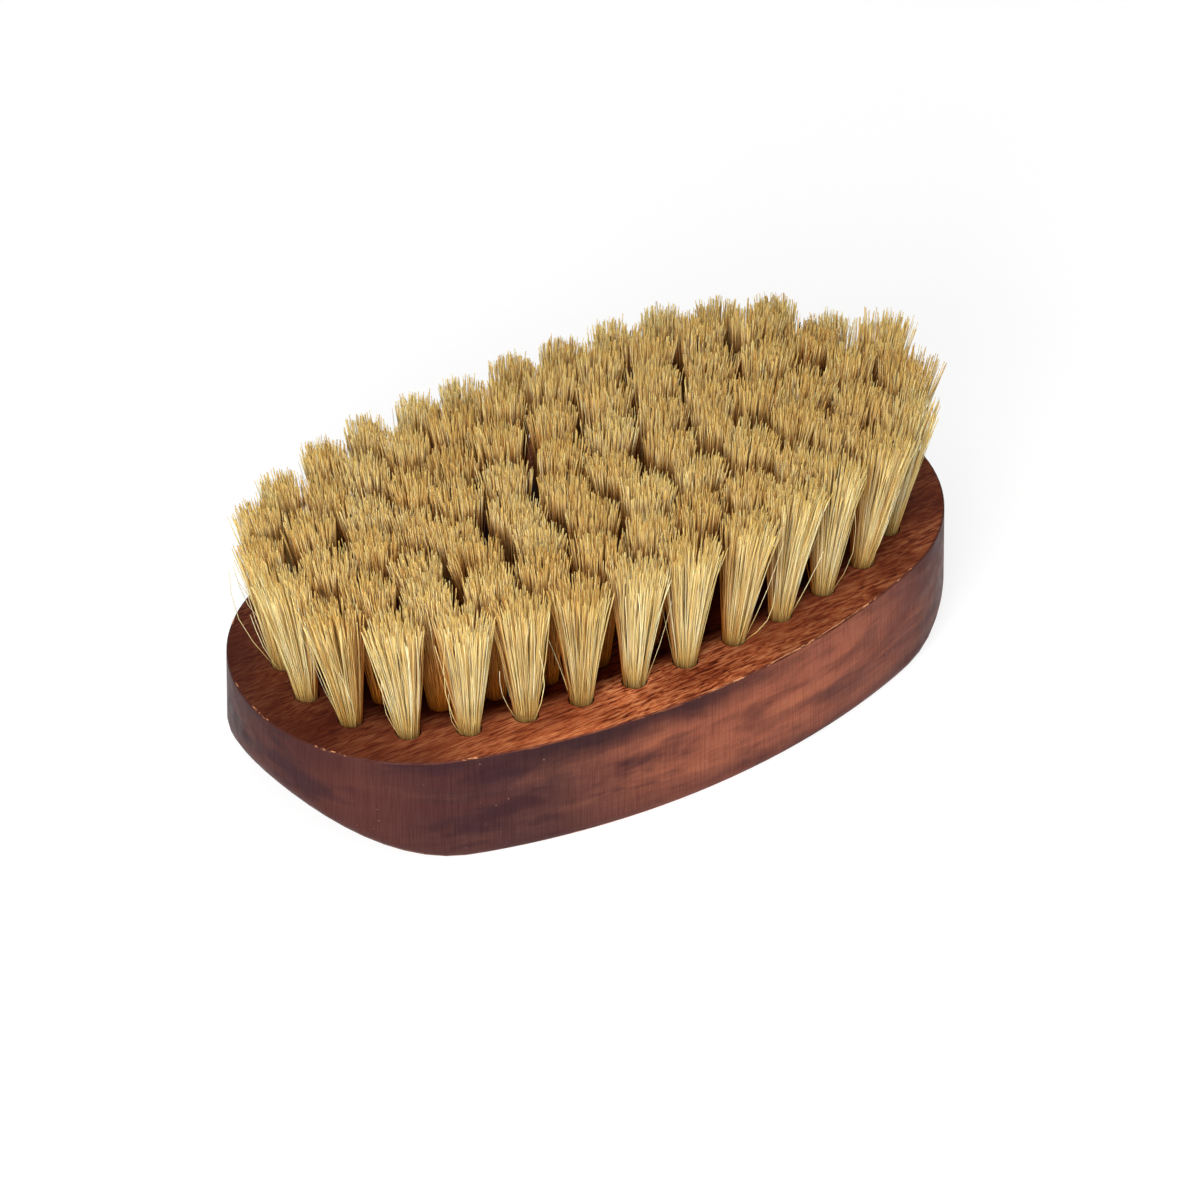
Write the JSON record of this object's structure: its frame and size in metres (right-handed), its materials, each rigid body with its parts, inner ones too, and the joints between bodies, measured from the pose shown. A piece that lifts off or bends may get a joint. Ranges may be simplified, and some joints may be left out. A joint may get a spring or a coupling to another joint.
{
  "type": "beard brush",
  "caption": "Oval palm-held beard brush: a one-piece stained wooden block with rings of pale bristle tufts, each anchored in its own drilled hole.",
  "frame": {"origin": "centre of the flat of the wooden back, which the brush rests on", "axes": "+Z from the back towards the bristle tips, +X along the length, -Y the long side nearest the viewer"},
  "size_m": [0.115, 0.066, 0.0414],
  "materials": {
    "wood": "reddish-brown stain, open pores, satin, slightly worn at the upper edge",
    "bristle": "pale straw natural bristle, level cut",
    "anchor_wire": "galvanised flat wire"
  },
  "bodies": {
    "root": {"block": "wood", "outer_tufts_back_right": "bristle", "outer_tufts_back_left": "bristle", "outer_tufts_front_left": "bristle", "outer_tufts_front_right": "bristle", "second_tufts_back_right": "bristle", "second_tufts_back_left": "bristle", "second_tufts_front_left": "bristle", "second_tufts_front_right": "bristle", "third_tufts_back_right": "bristle", "third_tufts_back_left": "bristle", "third_tufts_front_left": "bristle", "third_tufts_front_right": "bristle", "centre_tufts_back_right": "bristle", "centre_tufts_back_left": "bristle", "centre_tufts_front_left": "bristle", "centre_tufts_front_right": "bristle", "outer_anchors_back_right": "anchor_wire", "outer_anchors_back_left": "anchor_wire", "outer_anchors_front_left": "anchor_wire", "outer_anchors_front_right": "anchor_wire", "second_anchors_back_right": "anchor_wire", "second_anchors_back_left": "anchor_wire", "second_anchors_front_left": "anchor_wire", "second_anchors_front_right": "anchor_wire", "third_anchors_back_right": "anchor_wire", "third_anchors_back_left": "anchor_wire", "third_anchors_front_left": "anchor_wire", "third_anchors_front_right": "anchor_wire", "centre_anchors_back_right": "anchor_wire", "centre_anchors_back_left": "anchor_wire", "centre_anchors_front_left": "anchor_wire", "centre_anchors_front_right": "anchor_wire"}
  },
  "joints": []
}
